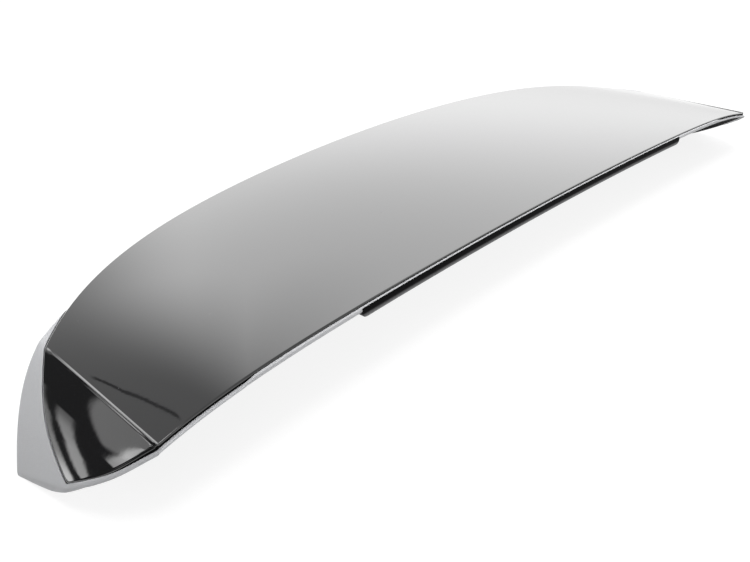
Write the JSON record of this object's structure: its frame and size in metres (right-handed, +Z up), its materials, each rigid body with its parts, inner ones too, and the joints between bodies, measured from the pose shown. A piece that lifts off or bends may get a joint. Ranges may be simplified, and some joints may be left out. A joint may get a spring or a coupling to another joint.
{
  "type": "tailgate roof spoiler",
  "caption": "Tailgate roof spoiler: wide bowed wing with turned-down ends, a glossy dark skin on a pale hollow shell, a front rubber seal and threaded studs below.",
  "frame": {"origin": "centre of the bounding box seen from above, on the surface that the part lies on", "axes": "+X across the car, +Y towards the trailing edge at the rear, +Z up"},
  "size_m": [1.102, 0.2384, 0.1091],
  "materials": {
    "skin": "gloss black clear coat",
    "shell": "satin light silver grey",
    "seal": "matt black",
    "studs": "zinc plated",
    "gaskets": "closed-cell foam",
    "screws": "dark zinc plated"
  },
  "bodies": {
    "root": {"upper_skin": "skin", "lower_shell": "shell", "leading_edge_seal": "seal", "mounting_studs": "studs", "stud_gaskets": "gaskets", "assembly_screws": "screws"}
  },
  "joints": []
}
